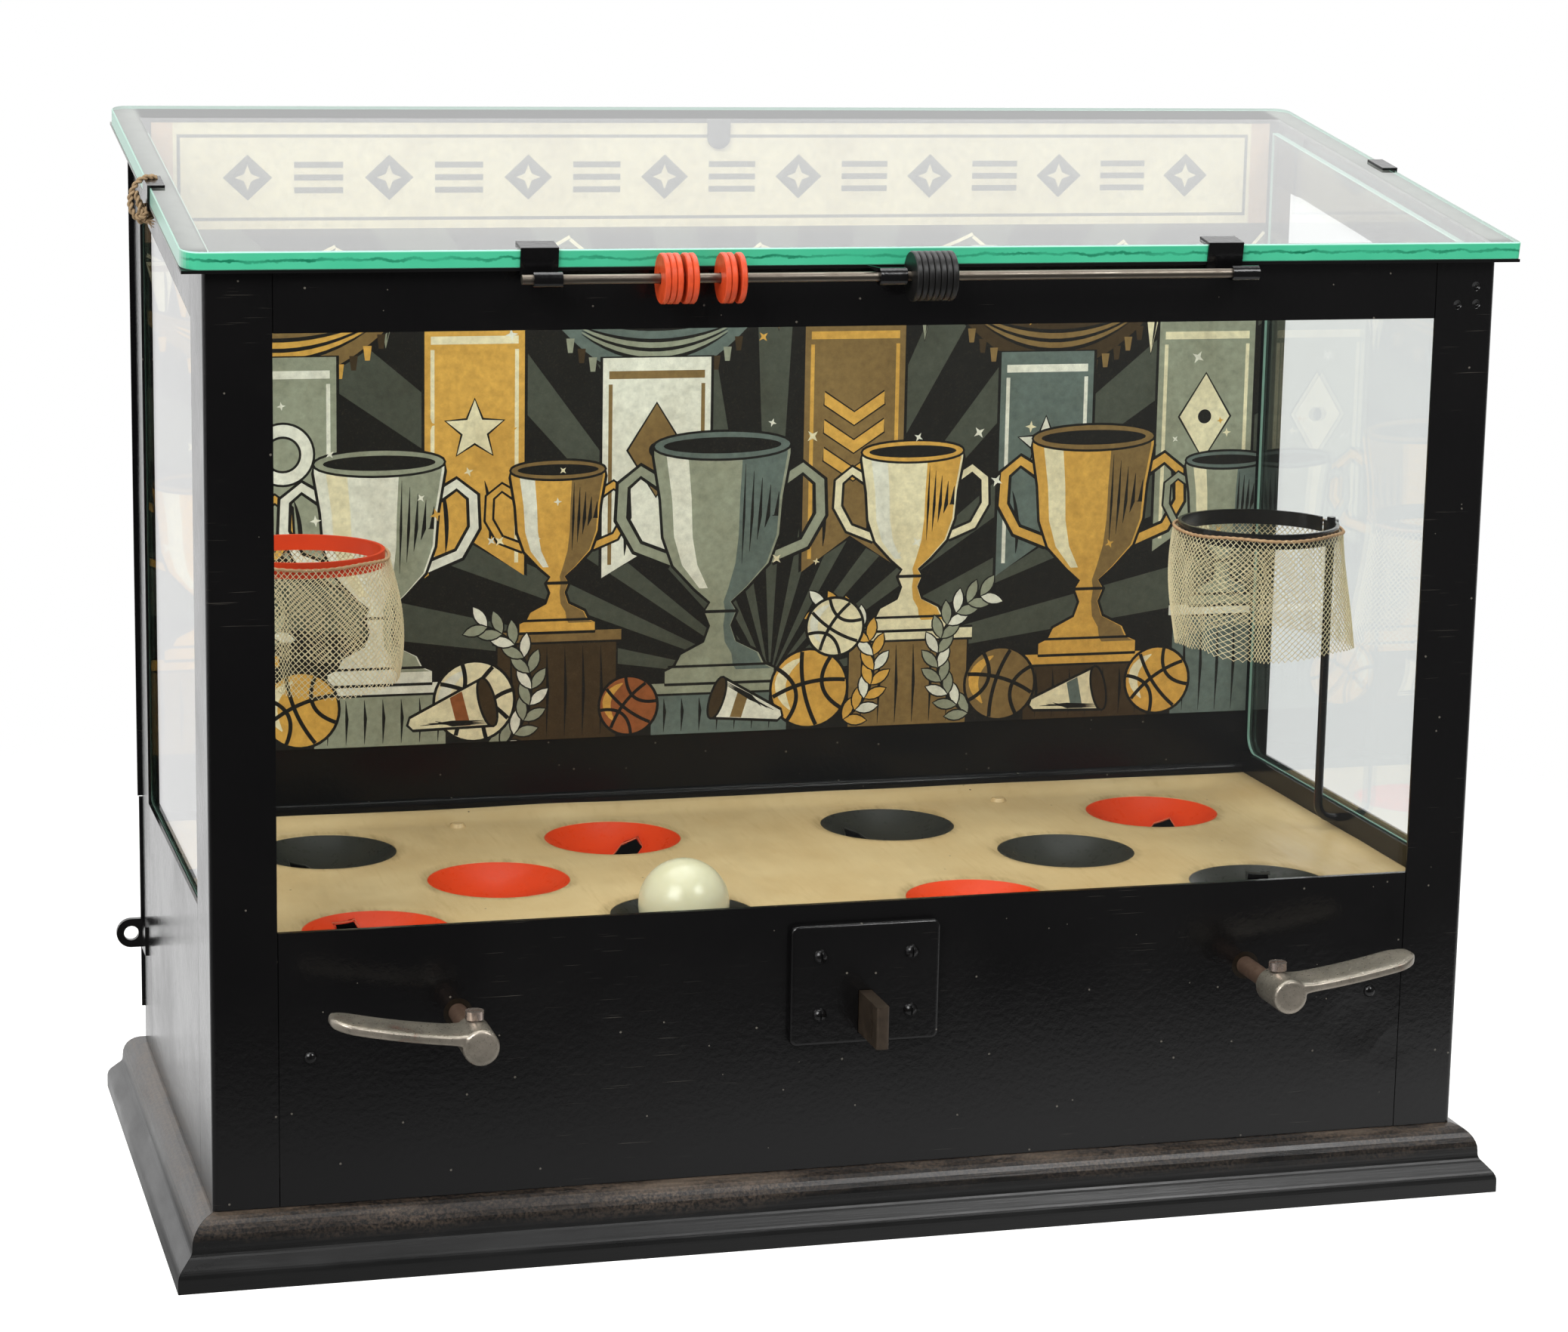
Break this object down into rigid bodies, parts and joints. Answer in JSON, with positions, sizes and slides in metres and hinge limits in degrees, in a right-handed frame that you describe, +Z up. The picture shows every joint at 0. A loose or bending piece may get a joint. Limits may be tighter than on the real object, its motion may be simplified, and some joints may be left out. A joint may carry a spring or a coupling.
{
  "type": "coin-operated tabletop ball game",
  "caption": "Glazed steel tabletop game on a moulded base: levers kick a ball from cups in a sloping-lid case towards netted hoops, with a coin slide and a score rod.",
  "frame": {"origin": "middle of the base's underside, under the centre of the cabinet", "axes": "+X to the player's right, +Y from the front to the back, +Z up"},
  "size_m": [0.4716, 0.2583, 0.3734],
  "materials": {
    "black_enamel": "satin black stove enamel over sheet steel",
    "base_wood": "worn black-brown stain",
    "window_glass": "clear float glass with green edges",
    "printed_card": "printed card, varnished and aged",
    "tan_enamel": "tan enamel on pressed sheet steel",
    "orange_enamel": "orange-red enamel",
    "charcoal_enamel": "charcoal enamel",
    "ball_plastic": "cream celluloid, glossy",
    "cotton_net": "knotted cotton thread",
    "twine": "brown twisted twine",
    "cast_metal": "worn cast zinc alloy",
    "bare_steel": "dull steel",
    "bush_brass": "plain brass",
    "orange_counter": "orange moulded disc",
    "black_counter": "black moulded disc"
  },
  "bodies": {
    "cabinet": {"front_posts": "black_enamel", "rear_posts": "black_enamel", "front_panel": "black_enamel", "front_rail": "black_enamel", "side_panels": "black_enamel", "side_rails": "black_enamel", "rear_sill": "black_enamel", "back_cover": "black_enamel", "back_panel": "black_enamel", "inner_rails": "black_enamel", "lid_frame": "black_enamel", "glass_channel": "black_enamel", "coin_plate": "black_enamel", "coin_plate_screws": "black_enamel", "rod_clips": "black_enamel", "rod_divider": "black_enamel", "lid_clips": "black_enamel", "hasp_staple": "black_enamel", "right_hoop": "black_enamel", "base_board": "base_wood", "base_mouldings": "base_wood", "lid_glass": "window_glass", "front_glass": "window_glass", "side_glass": "window_glass", "picture_card": "printed_card", "sign_card": "printed_card", "playfield": "tan_enamel", "playfield_screws": "tan_enamel", "orange_cups": "orange_enamel", "left_hoop": "orange_enamel", "black_cups": "charcoal_enamel", "hoop_nets": "cotton_net", "lid_tie": "twine", "hoop_stands": "bare_steel", "shaft_stirrups": "bare_steel", "lifter_guides": "bare_steel", "orange_spring": "bare_steel", "black_spring": "bare_steel", "coin_guide": "bare_steel", "cash_box": "bare_steel", "score_rod": "bare_steel", "door_hinge": "bare_steel", "shaft_bushes": "bush_brass"},
    "left_lever": {"left_lever": "cast_metal", "left_shaft": "bare_steel", "left_set_screw": "bare_steel", "left_crank": "bare_steel"},
    "right_lever": {"right_lever": "cast_metal", "right_shaft": "bare_steel", "right_set_screw": "bare_steel", "right_crank": "bare_steel"},
    "orange_lifter": {"orange_lifter": "bare_steel"},
    "black_lifter": {"black_lifter": "bare_steel"},
    "ball": {"ball": "ball_plastic"},
    "coin_slide": {"coin_slide": "bare_steel"},
    "orange_counters_left": {"orange_counters_left": "orange_counter"},
    "orange_counters_right": {"orange_counters_right": "orange_counter"},
    "black_counters": {"black_counters": "black_counter"},
    "rear_door": {"rear_door": "black_enamel"}
  },
  "joints": [
    {"name": "left_lever", "type": "hinge", "parent": "cabinet", "child": "left_lever", "pos_m": [-0.1405, -0.12, 0.0865], "axis": [0, -1, 0], "range_deg": [0, 35], "stiffness_Nm_per_rad": 0.5, "springref_deg": -17.19},
    {"name": "right_lever", "type": "hinge", "parent": "cabinet", "child": "right_lever", "pos_m": [0.1405, -0.12, 0.0865], "axis": [0, 1, 0], "range_deg": [0, 35], "stiffness_Nm_per_rad": 0.5, "springref_deg": -17.19},
    {"name": "orange_lift", "type": "slide", "parent": "cabinet", "child": "orange_lifter", "axis": [0, 0, 1], "range_m": [0, 0.0155], "deforming": ["orange_spring"]},
    {"name": "black_lift", "type": "slide", "parent": "cabinet", "child": "black_lifter", "axis": [0, 0, 1], "range_m": [0, 0.0155], "deforming": ["black_spring"]},
    {"name": "ball_lift", "type": "slide", "parent": "cabinet", "child": "ball", "axis": [0, 0, 1], "range_m": [0, 0.0155]},
    {"name": "coin_push", "type": "slide", "parent": "cabinet", "child": "coin_slide", "axis": [0, 1, 0], "range_m": [0, 0.02], "stiffness_N_per_m": 100, "springref_m": -0.01},
    {"name": "orange_count_left", "type": "slide", "parent": "cabinet", "child": "orange_counters_left", "axis": [1, 0, 0], "range_m": [-0.03, 0.004]},
    {"name": "orange_count_right", "type": "slide", "parent": "cabinet", "child": "orange_counters_right", "axis": [1, 0, 0], "range_m": [-0.004, 0.04]},
    {"name": "black_count", "type": "slide", "parent": "cabinet", "child": "black_counters", "axis": [1, 0, 0], "range_m": [-0.001, 0.086]},
    {"name": "rear_door", "type": "hinge", "parent": "cabinet", "child": "rear_door", "pos_m": [0.2252, 0.1023, 0.075], "axis": [0, 0, -1], "range_deg": [0, 110]}
  ],
  "couplings": [
    {"joint": "orange_lift", "follows": "left_lever", "m_per_rad": 0.025},
    {"joint": "black_lift", "follows": "right_lever", "m_per_rad": 0.025},
    {"joint": "ball_lift", "follows": "right_lever", "m_per_rad": 0.025}
  ]
}
